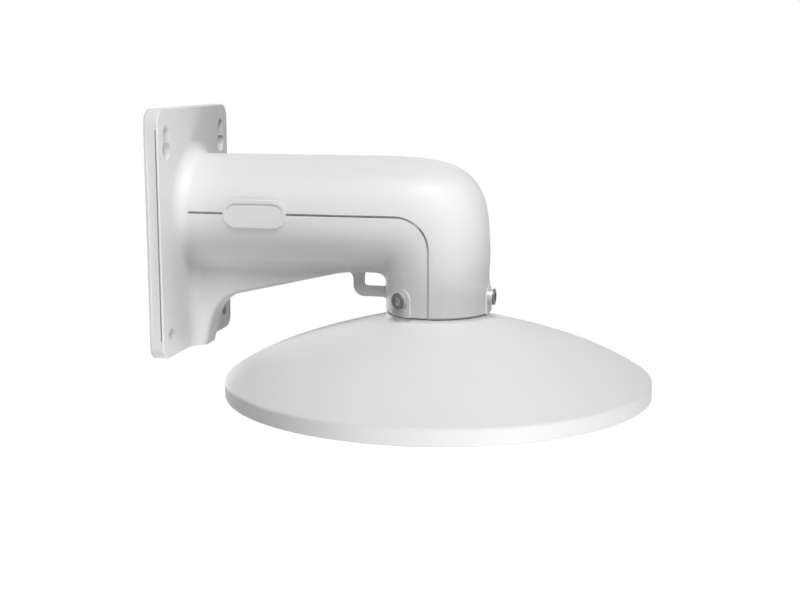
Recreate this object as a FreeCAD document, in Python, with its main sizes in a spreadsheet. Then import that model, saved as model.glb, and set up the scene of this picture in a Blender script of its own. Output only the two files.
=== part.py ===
import FreeCAD, Part
import math
import os
import Sketcher
from FreeCAD import Placement, Rotation, Vector

# A ceiling-height camera wall bracket: a cast arm with its wall plate, a round rain shade under the
# arm's collar, three clamp screws round the collar and a thin gasket behind the plate.
# Frame: origin on the wall face at the plate's centre, +X out of the wall along the arm, +Z up.
# Lengths are millimetres and angles are degrees.

DRIVING_SIZES = {
    # wall plate and its gasket
    "plate_width": 120.0,
    "plate_height": 150.0,
    "plate_front": 8.8,
    "plate_corner": 8.5,
    "plate_edge_round": 0.7,
    "plate_skin": 4.6,
    "plate_rim_wall": 5.0,
    "lip_thick": 1.1,
    "side_bow": 1.0,
    "crevice_width": 0.9,
    "crevice_depth": 3.2,
    "gasket_thick": 1.2,
    # fixing holes: keyholes above, plain holes below
    "fixing_margin_across": 13.0,
    "fixing_margin_up": 13.5,
    "fixing_hole_width": 8.4,
    "keyhole_entry_width": 12.0,
    "keyhole_travel": 11.1,
    "fixing_boss_wall": 3.2,
    # small blind hole in the plate's top edge
    "edge_hole_width": 2.0,
    "edge_hole_depth": 2.5,
    "edge_hole_across": 39.6,
    "edge_hole_setback": 4.2,
    # arm
    "axis_height": 12.3,
    "reach": 164.5,
    "tube_radius": 33.8,
    "wall": 4.0,
    "root_flare": 8.0,
    "collar_radius": 32.0,
    "collar_drop": 60.4,
    "collar_edge": 0.8,
    "elbow_inner_radius": 6.0,
    "elbow_outer_run": 102.4,
    "elbow_squareness": 5.36,
    "straight_end": 6.5,
    # keel and gusset under the arm
    "keel_width": 18.6,
    "keel_blend": 12.0,
    "keel_round": 3.0,
    "keel_end_depth": 37.3,
    "keel_slope": 13.0,
    "keel_end_bend": 80.0,
    "keel_end_run": 8.8,
    "gusset_foot": 16.2,
    "gusset_lean": 15.5,
    "gusset_bend": 25.0,
    # shadow groove and badge on the sides
    "groove_width": 1.4,
    "groove_depth": 1.5,
    "groove_bend": 20.0,
    "groove_start": 16.2,
    "badge_centre": 58.3,
    "badge_length": 39.8,
    "badge_height": 16.4,
    "badge_rim": 1.9,
    "badge_proud": 0.6,
    "badge_recess": 0.7,
    # safety eye under the elbow
    "eye_thick": 5.0,
    "eye_run": 20.9,
    "eye_bottom_drop": 53.1,
    "eye_band": 6.2,
    "eye_outer_round": 7.0,
    "eye_inner_round": 2.0,
    "eye_root_round": 2.4,
    "eye_keel_round": 5.5,
    "eye_hole_round": 3.7,
    # clamp screws and their pads
    "screw_count": 3.0,
    "screw_first_turn": -2.5,
    "screw_above_edge": 9.8,
    "screw_thread": 6.0,
    "screw_thread_clearance": 0.05,
    "screw_length": 6.0,
    "screw_head_width": 10.0,
    "screw_head_height": 4.0,
    "screw_head_round": 0.6,
    "screw_seat_depth": 0.5,
    "screw_seat_clearance": 0.2,
    "screw_hex": 5.0,
    "screw_hex_depth": 2.4,
    "pad_half_width": 7.0,
    "pad_proud": 0.3,
    # rain shade
    "shade_rim_radius": 131.2,
    "shade_rim_height": 9.6,
    "shade_rim_round": 1.6,
    "shade_low_round": 0.8,
    "shade_wall": 2.5,
    "shade_neck_inset": 0.6,
    "shade_seat_inset": 2.4,
    "shade_seat_step": 1.0,
    "shade_neck_round": 2.4,
    "shade_neck_drop": 4.0,
    "shade_slope": 15.4,
    "shade_cone_end": 61.0,
    "shade_shoulder_bend": 433.0,
    "shade_shoulder_end": 96.0,
    "shade_rim_dip": 4.55,
    "spigot_length": 17.0,
    "spigot_clearance": 0.15,
    "spigot_wall": 5.45,
}


def fill_sheet(doc):
    sheet = doc.addObject("Spreadsheet::Sheet", "Sizes")
    for row, (name, value) in enumerate(DRIVING_SIZES.items(), start=1):
        sheet.set("A%d" % row, name)
        sheet.set("B%d" % row, str(value))
        sheet.setAlias("B%d" % row, name)
    doc.recompute()
    return sheet


doc = FreeCAD.newDocument("camera_wall_bracket")
sheet = fill_sheet(doc)


def size(name):
    return float(sheet.get(name))


def derived_sizes():
    """Sizes that follow from the driving ones, kept together so that every piece reads the same values."""
    values = {name: size(name) for name in DRIVING_SIZES}
    values["plate_back"] = values["gasket_thick"]
    values["collar_bottom"] = values["axis_height"] - values["collar_drop"]
    values["collar_bore"] = values["collar_radius"] - values["wall"]
    values["pad_face"] = values["collar_radius"] + values["pad_proud"]
    values["passage_radius"] = values["tube_radius"] - values["wall"]
    values["keel_end_z"] = values["axis_height"] - values["keel_end_depth"]
    values["pivot_x"] = values["reach"] - values["collar_radius"] - values["elbow_inner_radius"]
    values["pivot_z"] = values["keel_end_z"] - values["elbow_inner_radius"]
    values["keel_end_x"] = values["pivot_x"] - values["keel_end_run"]
    values["loft_start"] = values["pivot_x"] - values["straight_end"]
    values["tube_top"] = values["axis_height"] + values["tube_radius"]
    values["collar_outer_x"] = values["reach"] + values["collar_radius"]
    values["screw_axis_z"] = values["collar_bottom"] + values["screw_above_edge"]
    return values


S = derived_sizes()


# Points that a lofted section's curves pass through, and the share used to read a path's direction.
CURVE_POINT_COUNT = 6
TOP_POINT_COUNT = 15
SMALL_SHARE = 0.0001
# The elbow's cable way is this much narrower than the drilled runs at its two ends.
HOLLOW_STEP = 0.2
# Cutting and joining solids run this far past the faces that they cross.
COVER = 1.0
# Edges that two solids share are matched within this distance.
JOIN_TOLERANCE = 0.001


def rad(angle):
    return math.radians(angle)


def edge_between(start, end):
    return Part.LineSegment(start, end).toShape()


def arc_through(start, middle, end):
    return Part.Arc(start, middle, end).toShape()


def curve_of(place, count, side=1):
    """Smooth curve through evenly shared points of a path, with the path's own directions at its ends."""
    shares = [step / (count - 1) for step in range(count)]
    points = [place(share) for share in shares]
    start_way = (place(SMALL_SHARE) - place(0.0)) / SMALL_SHARE
    end_way = (place(1.0) - place(1.0 - SMALL_SHARE)) / SMALL_SHARE
    if side < 0:
        points = mirrored(points)
        start_way, end_way = mirrored([start_way, end_way])
    curve = Part.BSplineCurve()
    curve.interpolate(Points=points, Parameters=shares, InitialTangent=start_way, FinalTangent=end_way,
                      Scale=False)
    return curve.toShape()


def reversed_path(place):
    return lambda share: place(1.0 - share)


def mirrored(points):
    """The same points on the other side of the arm's middle plane, Y = 0."""
    return [Vector(p.x, -p.y, p.z) for p in points]


def smooth_step(share):
    share = min(max(share, 0.0), 1.0)
    return share * share * (3 - 2 * share)


# The keel is a rib under the round tube, joined to it by a hollow blend of one radius on each side.
# A section is given as (across, down) from the arm's axis.


def blend_centre():
    across = S["keel_width"] / 2 + S["keel_blend"]
    down = math.sqrt((S["tube_radius"] + S["keel_blend"]) ** 2 - across ** 2)
    return across, down


def keel_break_angle():
    """Angle from straight down at which the blend leaves the tube's circle."""
    across, down = blend_centre()
    return math.atan2(across, down)


def blend_point(share):
    """A point on the blend arc, from the tube at share 0 to the keel's upright side at share 1."""
    across, down = blend_centre()
    angle = math.pi + (math.pi / 2 - keel_break_angle()) * (1 - share)
    return across + S["keel_blend"] * math.cos(angle), down + S["keel_blend"] * math.sin(angle)


def end_round_centre():
    """Centre of the round between the blend and the underside, where the underside is level."""
    across, down = blend_centre()
    centre_down = S["keel_end_depth"] - S["keel_round"]
    reach = S["keel_blend"] + S["keel_round"]
    return across - math.sqrt(reach ** 2 - (down - centre_down) ** 2), centre_down


def end_blend_point(share):
    """A point on the blend arc at the run's end, from the tube at share 0 to the round at share 1."""
    across, down = blend_centre()
    round_across, round_down = end_round_centre()
    start = math.pi + math.pi / 2 - keel_break_angle()
    end = math.atan2(round_down - down, round_across - across) % (2 * math.pi)
    angle = start + (end - start) * share
    return across + S["keel_blend"] * math.cos(angle), down + S["keel_blend"] * math.sin(angle)


def end_round_point(share):
    """A point on the round at the run's end, from the blend at share 0 to the level underside at share 1."""
    across, down = blend_centre()
    round_across, round_down = end_round_centre()
    start = math.atan2(down - round_down, across - round_across)
    angle = start + (math.pi / 2 - start) * share
    return round_across + S["keel_round"] * math.cos(angle), round_down + S["keel_round"] * math.sin(angle)


def tube_point(angle):
    return S["tube_radius"] * math.sin(angle), S["tube_radius"] * math.cos(angle)


def run_section(x, depth):
    """Exact outline of the tube with a deep keel, cut by the plane at this distance from the wall."""

    def place(point, side=1):
        return Vector(x, side * point[0], S["axis_height"] - point[1])

    level = math.pi / 2
    leave = keel_break_angle()
    foot = (S["keel_width"] / 2, depth)
    half = [edge_between(place(foot), place(blend_point(1))),
            arc_through(place(blend_point(1)), place(blend_point(0.5)), place(tube_point(leave))),
            arc_through(place(tube_point(leave)), place(tube_point((level + leave) / 2)),
                        place(tube_point(level)))]
    other = [edge_between(place(foot, -1), place(blend_point(1), -1)),
             arc_through(place(blend_point(1), -1), place(blend_point(0.5), -1),
                         place(tube_point(leave), -1)),
             arc_through(place(tube_point(leave), -1), place(tube_point((level + leave) / 2), -1),
                         place(tube_point(level), -1))]
    top = arc_through(place(tube_point(level)), place(tube_point(math.pi)), place(tube_point(level), -1))
    return Part.Wire(half + [top] + other[::-1] + [edge_between(place(foot, -1), place(foot))])


def loft_section(top, tube_side, blend, corner, flat):
    """Closed section from its curves' paths: over the top, down each side, and across the keel."""
    sides = (tube_side, blend, corner)
    return Part.Wire([curve_of(top, TOP_POINT_COUNT)]
                     + [curve_of(path, CURVE_POINT_COUNT, -1) for path in sides]
                     + [curve_of(reversed_path(flat), CURVE_POINT_COUNT)]
                     + [curve_of(reversed_path(path), CURVE_POINT_COUNT) for path in sides[::-1]])


def straight_section(x):
    """The loft's section where the arm is still straight and its underside is level."""
    leave = keel_break_angle()
    flat_half = end_round_centre()[0]

    def place(point):
        return Vector(x, point[0], S["axis_height"] - point[1])

    return loft_section(lambda share: place(tube_point(math.pi * (share + 0.5))),
                        lambda share: place(tube_point(math.pi / 2 + (leave - math.pi / 2) * share)),
                        lambda share: place(end_blend_point(share)),
                        lambda share: place(end_round_point(share)),
                        lambda share: place((flat_half * (1 - 2 * share), S["keel_end_depth"])))


def keel_slope_corner():
    """Where the sloping underside and its level end would meet without their bend."""
    tangent = S["keel_end_bend"] * math.tan(rad(S["keel_slope"]) / 2)
    return Vector(S["keel_end_x"] - tangent, 0, S["keel_end_z"])


def keel_foot_corner():
    """Where the gusset's steep front and the keel's sloping underside would meet without their bend."""
    slope = math.tan(rad(S["keel_slope"]))
    lean = math.tan(rad(S["gusset_lean"]))
    foot_z = -S["plate_height"] / 2
    upper = keel_slope_corner()
    start_z = upper.z - upper.x * slope
    x = (S["gusset_foot"] + (start_z - foot_z) * lean) / (1 - slope * lean)
    return Vector(x, 0, start_z + x * slope)


def underside_height(x, z):
    """How far a point of the arm's middle plane lies from the gusset's front and the keel's underside."""
    return keel_underside().distToShape(Part.Vertex(Vector(x, 0, z)))[0]


def bend_points(corner, before, after, radius):
    """Start, middle and end of a bend at a corner, between two directions that lead away from it."""
    half_turn = (math.pi - before.getAngle(after)) / 2
    tangent = radius * math.tan(half_turn)
    middle = corner + (before + after).normalize() * (radius / math.cos(half_turn) - radius)
    return corner + before * tangent, middle, corner + after * tangent


def keel_underside():
    """A solid of everything below the gusset's front and the keel's underside, out to the loft's start."""
    lean = rad(S["gusset_lean"])
    slope = rad(S["keel_slope"])
    down = Vector(-math.sin(lean), 0, -math.cos(lean))
    out = Vector(math.cos(slope), 0, math.sin(slope))
    level = Vector(1, 0, 0)
    lower = keel_foot_corner()
    upper = keel_slope_corner()
    low_z = -2 * S["plate_height"]
    foot = lower + down * ((low_z - lower.z) / down.z)
    first = bend_points(lower, down, out, S["gusset_bend"])
    second = bend_points(upper, -out, level, S["keel_end_bend"])
    end = Vector(S["loft_start"] + COVER, 0, S["keel_end_z"])
    low_end = Vector(end.x, 0, low_z)
    edges = [edge_between(foot, first[0]), arc_through(*first), edge_between(first[2], second[0]),
             arc_through(*second), edge_between(second[2], end), edge_between(end, low_end),
             edge_between(low_end, foot)]
    face = Part.Face(Part.Wire(edges))
    face.translate(Vector(0, -S["keel_width"], 0))
    return face.extrude(Vector(0, 2 * S["keel_width"], 0))


# The elbow turns about a pivot line at the centre of its inner bend. Each section lies in a plane
# through that line, at a turn measured from straight up (0) to straight out from the wall (90 degrees).


def along_turn(turn, distance):
    return S["pivot_x"] + distance * math.sin(turn), S["pivot_z"] + distance * math.cos(turn)


def outer_distance(turn):
    """Distance from the pivot to the elbow's outline, a squared-off quarter of an ellipse."""
    centre_x = S["collar_outer_x"] - S["elbow_outer_run"]
    rise = S["tube_top"] - S["collar_bottom"]
    power = S["elbow_squareness"]
    if turn > rad(90) - SMALL_SHARE:
        return S["collar_outer_x"] - S["pivot_x"]
    near = 0.0
    far = S["elbow_outer_run"] + rise
    for halving in range(50):
        middle = (near + far) / 2
        x, z = along_turn(turn, middle)
        share_x = max(x - centre_x, 0) / S["elbow_outer_run"]
        share_z = max(z - S["collar_bottom"], 0) / rise
        if share_x ** power + share_z ** power < 1:
            near = middle
        else:
            far = middle
    return near


def side_distance(turn):
    """Distance from the pivot to the widest line of the arm's side, which the shadow groove follows."""
    bend = S["groove_bend"]
    to_axis = S["axis_height"] - S["pivot_z"]
    to_collar = S["reach"] - S["pivot_x"]
    if math.tan(turn) * to_axis <= to_collar - bend:
        return to_axis / math.cos(turn)
    if to_collar / math.tan(turn) <= to_axis - bend:
        return to_collar / math.sin(turn)
    centre_x = to_collar - bend
    centre_z = to_axis - bend
    ahead = centre_x * math.sin(turn) + centre_z * math.cos(turn)
    return ahead + math.sqrt(ahead ** 2 - centre_x ** 2 - centre_z ** 2 + bend ** 2)


ELBOW_TURNS = [rad(90.0 * step / 8) for step in range(9)]


def elbow_frame(turn):
    """Values that a section of the elbow needs: the widest line, the half width and the morph share."""
    share = turn / rad(90)
    half_width = S["tube_radius"] + (S["collar_radius"] - S["tube_radius"]) * smooth_step(share)
    return side_distance(turn), half_width, smooth_step(share / 0.9)


def elbow_section(turn):
    """Outer section of the elbow: half an ellipse outside, the keel fading into half an ellipse inside."""
    side, half_width, faded = elbow_frame(turn)
    outer = outer_distance(turn) - side
    inner = side - S["elbow_inner_radius"]
    depth = S["keel_end_depth"]
    level = math.pi / 2
    leave = keel_break_angle()
    blend_angle = math.atan2(*end_blend_point(1))
    flat_half = end_round_centre()[0]
    flat_angle = math.atan2(flat_half, depth)

    def place(across, down):
        x, z = along_turn(turn, side - down)
        return Vector(x, across, z)

    def morphed(point, angle):
        across = (1 - faded) * point[0] * half_width / S["tube_radius"] + faded * half_width * math.sin(angle)
        down = (1 - faded) * point[1] * inner / depth + faded * inner * math.cos(angle)
        return place(across, down)

    return loft_section(
        lambda share: place(half_width * math.cos(math.pi * share), -outer * math.sin(math.pi * share)),
        lambda share: morphed(tube_point(level + (leave - level) * share), level + (leave - level) * share),
        lambda share: morphed(end_blend_point(share), leave + (blend_angle - leave) * share),
        lambda share: morphed(end_round_point(share), blend_angle + (flat_angle - blend_angle) * share),
        lambda share: morphed((flat_half * (1 - 2 * share), depth), flat_angle * (1 - 2 * share)))


def elbow_hollow_section(turn):
    """Section of the cable way through the elbow, one wall inside the outer section."""
    side, half_width, faded = elbow_frame(turn)
    outer = outer_distance(turn) - side - S["wall"] - HOLLOW_STEP
    keel_extra = (S["keel_end_depth"] - S["tube_radius"]) * (1 - faded)
    inner = side - S["elbow_inner_radius"] - S["wall"] - keel_extra - HOLLOW_STEP
    width = half_width - S["wall"] - HOLLOW_STEP

    def half(reach):
        def place(share):
            x, z = along_turn(turn, side + reach * math.sin(math.pi * share))
            return Vector(x, width * math.cos(math.pi * share), z)
        return place

    return Part.Wire([curve_of(half(outer), TOP_POINT_COUNT),
                      curve_of(reversed_path(half(-inner)), TOP_POINT_COUNT)])


def cylinder_along(radius, start, end):
    way = end - start
    return Part.makeCylinder(radius, way.Length, start, way)


def plate_prism(inset, x_start, x_end):
    """Rounded rectangle of the wall plate, set in by this much, from one distance to another."""
    half_y = S["plate_width"] / 2 - inset
    half_z = S["plate_height"] / 2 - inset
    box = Part.makeBox(x_end - x_start, 2 * half_y, 2 * half_z, Vector(x_start, -half_y, -half_z))
    along_x = [edge for edge in box.Edges if edge.BoundBox.XLength > x_end - x_start - COVER / 2
               and edge.BoundBox.YLength < COVER / 2 and edge.BoundBox.ZLength < COVER / 2]
    return box.makeFillet(max(S["plate_corner"] - inset, S["plate_edge_round"]), along_x)


def fixing_places():
    """Centres (across, up) of the four fixing screws: the keyholes' narrow ends above, holes below."""
    half_y = S["plate_width"] / 2 - S["fixing_margin_across"]
    half_z = S["plate_height"] / 2 - S["fixing_margin_up"]
    return [(side * half_y, level * half_z) for level in (1, -1) for side in (-1, 1)]


def fixing_outline(across, up, widen, x_start, x_end):
    """A fixing hole grown by a margin: a plain hole below, a keyhole that opens downward above."""
    slot_radius = S["fixing_hole_width"] / 2 + widen
    start = Vector(x_start, across, up)
    along = Vector(x_end - x_start, 0, 0)
    shape = Part.makeCylinder(slot_radius, along.x, start, along)
    if up > 0:
        entry = start - Vector(0, 0, S["keyhole_travel"])
        slot = Part.makeBox(along.x, 2 * slot_radius, S["keyhole_travel"], entry - Vector(0, slot_radius, 0))
        wide = Part.makeCylinder(S["keyhole_entry_width"] / 2 + widen, along.x, entry, along)
        shape = shape.fuse([slot, wide])
    return shape


def bowed_cut(side, bow, x_start, x_end):
    """Bowed cut along one long edge of the plate, deepest at mid-height, between two distances."""
    start_z = S["plate_height"] / 2 - S["plate_corner"]
    edge_y = side * S["plate_width"] / 2
    outside = edge_y + side * COVER
    top = Vector(x_start, edge_y, start_z)
    bottom = Vector(x_start, edge_y, -start_z)
    middle = Vector(x_start, edge_y - side * bow, 0)
    edges = [arc_through(top, middle, bottom),
             edge_between(bottom, Vector(x_start, outside, -start_z)),
             edge_between(Vector(x_start, outside, -start_z), Vector(x_start, outside, start_z)),
             edge_between(Vector(x_start, outside, start_z), top)]
    return Part.Face(Part.Wire(edges)).extrude(Vector(x_end - x_start, 0, 0))


def side_recess(side):
    """The plate's long side bows in behind the front lip, with a crevice directly behind the lip."""
    lip_back = S["plate_front"] - S["lip_thick"]
    recess = bowed_cut(side, S["side_bow"], S["plate_back"] - COVER, lip_back)
    crevice = bowed_cut(side, S["side_bow"] + S["crevice_depth"], lip_back - S["crevice_width"], lip_back)
    return [recess, crevice]


def front_edge_trim():
    """What the soft front edge takes off the plate, left out where the gusset's foot crosses the edge."""
    soft = S["plate_edge_round"]
    back = S["plate_front"] - 2 * soft
    block = plate_prism(0, back, S["plate_front"])
    front = [edge for edge in block.Edges if edge.BoundBox.XMin > S["plate_front"] - 0.01]
    trim = plate_prism(0, back, S["plate_front"]).cut(block.makeFillet(soft, front))
    half = S["keel_width"] / 2 + S["root_flare"]
    foot = Part.makeBox(4 * soft, 2 * half, S["plate_corner"],
                        Vector(back - soft, -half, -S["plate_height"] / 2 - COVER))
    return trim.cut(foot)


def plate_pocket():
    """Hollow in the back of the plate, leaving its skin, its rim, the screw bosses and the arm's ring."""
    floor = S["plate_front"] - S["plate_skin"]
    pocket = plate_prism(S["plate_rim_wall"], S["plate_back"] - COVER, floor)
    bosses = [fixing_outline(across, up, S["fixing_boss_wall"], S["plate_back"] - 2 * COVER, floor + COVER)
              for across, up in fixing_places()]
    ring = cylinder_along(S["tube_radius"], Vector(S["plate_back"] - 2 * COVER, 0, S["axis_height"]),
                          Vector(floor + COVER, 0, S["axis_height"]))
    gusset = Part.makeBox(floor + 3 * COVER, S["keel_width"], S["plate_height"],
                          Vector(S["plate_back"] - 2 * COVER, -S["keel_width"] / 2, -S["plate_height"]))
    return pocket.cut([ring, gusset] + bosses)


def keel_core():
    """Slot cored into the gusset from the back, which opens into the cable way above it."""
    half = S["keel_width"] / 2 - S["wall"]
    front = S["gusset_foot"] - S["wall"]
    low = -S["plate_height"] / 2 + 2 * S["plate_rim_wall"]
    top = S["axis_height"] - S["passage_radius"] + S["wall"]
    corner = keel_foot_corner()
    back = S["plate_back"] - COVER
    points = [Vector(back, -half, low), Vector(front, -half, low),
              Vector(corner.x - 2 * S["wall"], -half, corner.z - S["wall"]),
              Vector(corner.x, -half, top), Vector(back, -half, top)]
    face = Part.Face(Part.makePolygon(points + points[:1]))
    return face.extrude(Vector(0, 2 * half, 0))


def flared_root():
    """The straight run on an oversize plate, with the round flare between them and the keel's soft edges."""
    deep = S["plate_height"] / 2 + S["axis_height"] + S["plate_height"] / 2
    run = Part.Face(run_section(S["plate_back"], deep))
    run = run.extrude(Vector(S["loft_start"] - S["plate_back"], 0, 0))
    run = run.cut(keel_underside()).Solids[0]
    low = -S["plate_height"]
    slab = Part.makeBox(S["plate_front"] - S["plate_back"], S["plate_width"], S["plate_height"] / 2 - low,
                        Vector(S["plate_back"], -S["plate_width"] / 2, low))
    root = slab.fuse(run)
    front_edges = []
    for edge in root.Edges:
        bounds = edge.BoundBox
        on_front = abs(bounds.XMin - S["plate_front"]) < 0.01 and abs(bounds.XMax - S["plate_front"]) < 0.01
        inside = max(abs(bounds.YMin), abs(bounds.YMax)) < S["plate_width"] / 2 - 0.01
        if on_front and inside:
            front_edges.append(edge)
    root = root.makeFillet(S["root_flare"], front_edges)
    kept = Part.makeBox(S["loft_start"] - S["plate_back"], S["plate_width"], S["plate_height"] + COVER,
                        Vector(S["plate_back"], -S["plate_width"] / 2, -S["plate_height"] / 2 - COVER))
    root = root.common(kept)
    return root.makeFillet(S["keel_round"], keel_edges(root))


def keel_edges(root):
    """The two long lower edges of the keel and of the gusset, from below the plate to the loft's start."""
    edges = []
    for edge in root.Edges:
        bounds = edge.BoundBox
        middle = edge.valueAt((edge.FirstParameter + edge.LastParameter) / 2)
        if bounds.XMax - bounds.XMin < COVER and bounds.ZMax - bounds.ZMin < COVER:
            continue
        if abs(underside_height(middle.x, middle.z)) > 0.01 or abs(middle.y) < S["keel_width"] / 4:
            continue
        edges.append(edge)
    return edges


def groove_band(side):
    """Band that follows the groove's path, deep enough into one side of the arm to cut the groove."""
    half = S["groove_width"] / 2
    bend = S["groove_bend"]
    y_out = side * (S["tube_radius"] + COVER)
    centre_x = S["reach"] - bend
    centre_z = S["axis_height"] - bend
    turn = math.sqrt(0.5)
    bands = []
    for level, part_bounds in ((S["tube_radius"], "run"), (S["collar_radius"], "drop")):
        y_in = side * (level - S["groove_depth"])
        outer, inner = bend + half, bend - half
        mid_outer = Vector(centre_x + outer * turn, y_in, centre_z + outer * turn)
        mid_inner = Vector(centre_x + inner * turn, y_in, centre_z + inner * turn)
        if part_bounds == "run":
            start = S["groove_start"]
            quarter = rad(67.5)
            edges = [edge_between(Vector(start, y_in, centre_z + inner),
                                  Vector(start, y_in, centre_z + outer)),
                     edge_between(Vector(start, y_in, centre_z + outer),
                                  Vector(centre_x, y_in, centre_z + outer)),
                     arc_through(Vector(centre_x, y_in, centre_z + outer),
                                 Vector(centre_x + outer * math.cos(quarter), y_in,
                                        centre_z + outer * math.sin(quarter)), mid_outer),
                     edge_between(mid_outer, mid_inner),
                     arc_through(mid_inner, Vector(centre_x + inner * math.cos(quarter), y_in,
                                                   centre_z + inner * math.sin(quarter)),
                                 Vector(centre_x, y_in, centre_z + inner)),
                     edge_between(Vector(centre_x, y_in, centre_z + inner),
                                  Vector(start, y_in, centre_z + inner))]
        else:
            end = S["collar_bottom"] - COVER
            quarter = rad(22.5)
            edges = [edge_between(Vector(centre_x + inner, y_in, end), Vector(centre_x + outer, y_in, end)),
                     edge_between(Vector(centre_x + outer, y_in, end),
                                  Vector(centre_x + outer, y_in, centre_z)),
                     arc_through(Vector(centre_x + outer, y_in, centre_z),
                                 Vector(centre_x + outer * math.cos(quarter), y_in,
                                        centre_z + outer * math.sin(quarter)), mid_outer),
                     edge_between(mid_outer, mid_inner),
                     arc_through(mid_inner, Vector(centre_x + inner * math.cos(quarter), y_in,
                                                   centre_z + inner * math.sin(quarter)),
                                 Vector(centre_x + inner, y_in, centre_z)),
                     edge_between(Vector(centre_x + inner, y_in, centre_z),
                                  Vector(centre_x + inner, y_in, end))]
        face = Part.Face(Part.Wire(edges))
        bands.append(face.extrude(Vector(0, y_out - y_in, 0)))
    return bands


def stadium(length, height, y_start, y_end):
    """Upright stadium on the near side of the arm, centred on the badge."""
    radius = height / 2
    reach = length / 2 - radius
    x, z = S["badge_centre"], S["axis_height"]
    right = Vector(x + reach, y_start, z)
    left = Vector(x - reach, y_start, z)
    up = Vector(0, 0, radius)
    along = Vector(radius, 0, 0)
    edges = [edge_between(left + up, right + up), arc_through(right + up, right + along, right - up),
             edge_between(right - up, left - up), arc_through(left - up, left - along, left + up)]
    return Part.Face(Part.Wire(edges)).extrude(Vector(0, y_end - y_start, 0))


def badge_boss():
    face_y = -(S["tube_radius"] + S["badge_proud"])
    return stadium(S["badge_length"], S["badge_height"], face_y, -(S["tube_radius"] - S["wall"] / 2))


def badge_zone():
    """Everything in line with the badge, so that the groove stops short at its two ends."""
    return stadium(S["badge_length"], S["badge_height"], -(S["tube_radius"] + 2 * COVER),
                   -(S["tube_radius"] - S["wall"]))


def badge_field():
    face_y = -(S["tube_radius"] + S["badge_proud"])
    inset = 2 * S["badge_rim"]
    return stadium(S["badge_length"] - inset, S["badge_height"] - inset, face_y - COVER,
                   face_y + S["badge_recess"])


def safety_eye():
    """Flat eye in the arm's middle plane, across the elbow's inner corner."""
    half = S["eye_thick"] / 2
    left = S["reach"] - S["collar_radius"] - S["eye_run"]
    bottom = S["axis_height"] - S["eye_bottom_drop"]
    top = S["keel_end_z"] + S["wall"]
    wall_x = S["reach"] - S["collar_radius"]
    right = wall_x + S["wall"] / 2
    outline = Part.makeBox(right - left, S["eye_thick"], top - bottom, Vector(left, -half, bottom))
    outline = outline.makeFillet(S["eye_outer_round"], [upright_edge(outline, left, bottom)])
    band = S["eye_band"]
    hole = Part.makeBox(wall_x - left - band + COVER, S["eye_thick"] + 2 * COVER,
                        S["keel_end_z"] - bottom - band + COVER,
                        Vector(left + band, -half - COVER, bottom + band))
    hole = hole.makeFillet(S["eye_inner_round"], [upright_edge(hole, left + band, bottom + band)])
    root = S["eye_root_round"]
    corners = [root_corner(left, S["keel_end_z"], -1, -1, S["eye_keel_round"]),
               root_corner(left + band, S["keel_end_z"], 1, -1, S["eye_hole_round"]),
               root_corner(wall_x, bottom, -1, -1, root), root_corner(wall_x, bottom + band, -1, 1, root)]
    return outline.cut(hole).fuse(corners)


def root_corner(x, z, along, up, radius):
    """Filling of the corner at (x, z) that gives the eye a round root; it lies towards along and up."""
    half = S["eye_thick"] / 2
    low_x = min(x - along * COVER, x + along * radius)
    low_z = min(z - up * COVER, z + up * radius)
    block = Part.makeBox(radius + COVER, S["eye_thick"], radius + COVER, Vector(low_x, -half, low_z))
    round_way = Part.makeCylinder(radius, S["eye_thick"] + 2 * COVER,
                                  Vector(x + along * radius, -half - COVER, z + up * radius), Vector(0, 1, 0))
    return block.cut(round_way)


def upright_edge(box, x, z):
    """The edge of a box that runs across the arm at this place."""
    for edge in box.Edges:
        bounds = edge.BoundBox
        across = bounds.YLength > S["eye_thick"] / 2
        if across and abs(bounds.XMin - x) < 0.01 and abs(bounds.ZMin - z) < 0.01:
            return edge
    raise ValueError("no edge across the arm at this place")


def screw_turns():
    count = round(S["screw_count"])
    return [S["screw_first_turn"] + 360.0 * step / count for step in range(count)]


def around_collar(shape, turn):
    """A copy of a shape built at the outer side of the collar, turned about the collar's axis."""
    copy = shape.copy()
    copy.rotate(Vector(S["reach"], 0, 0), Vector(0, 0, 1), turn)
    return copy


def clamp_pad():
    """Flat pad with an arched top, for one screw's head, at the outer side of the collar."""
    inside = S["reach"] + S["collar_radius"] - S["wall"] / 2
    depth = S["pad_face"] - (inside - S["reach"])
    radius = S["pad_half_width"]
    arch = Part.makeCylinder(radius, depth, Vector(inside, 0, S["screw_axis_z"]), Vector(1, 0, 0))
    leg = Part.makeBox(depth, 2 * radius, S["screw_above_edge"], Vector(inside, -radius, S["collar_bottom"]))
    return arch.fuse(leg)


def clamp_drilling():
    """Spot face for the head and the tapped hole below it, at the outer side of the collar."""
    seat = S["reach"] + S["pad_face"] - S["screw_seat_depth"]
    axis_z = S["screw_axis_z"]
    thread = S["screw_thread"] / 2 + S["screw_thread_clearance"]
    hole = cylinder_along(thread, Vector(S["reach"], 0, axis_z),
                          Vector(S["reach"] + S["pad_face"] + COVER, 0, axis_z))
    face = cylinder_along(S["screw_head_width"] / 2 + S["screw_seat_clearance"], Vector(seat, 0, axis_z),
                          Vector(S["reach"] + S["pad_face"] + COVER, 0, axis_z))
    return hole.fuse(face)


def collar_barrel():
    """Round collar with a small bevel at its lower edge."""
    height = S["pivot_z"] - S["collar_bottom"]
    barrel = Part.makeCylinder(S["collar_radius"], height, Vector(S["reach"], 0, S["collar_bottom"]))
    rim = [edge for edge in barrel.Edges if abs(edge.BoundBox.ZMax - S["collar_bottom"]) < 0.01
           and abs(edge.BoundBox.ZMin - S["collar_bottom"]) < 0.01]
    return barrel.makeChamfer(S["collar_edge"], rim)


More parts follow.
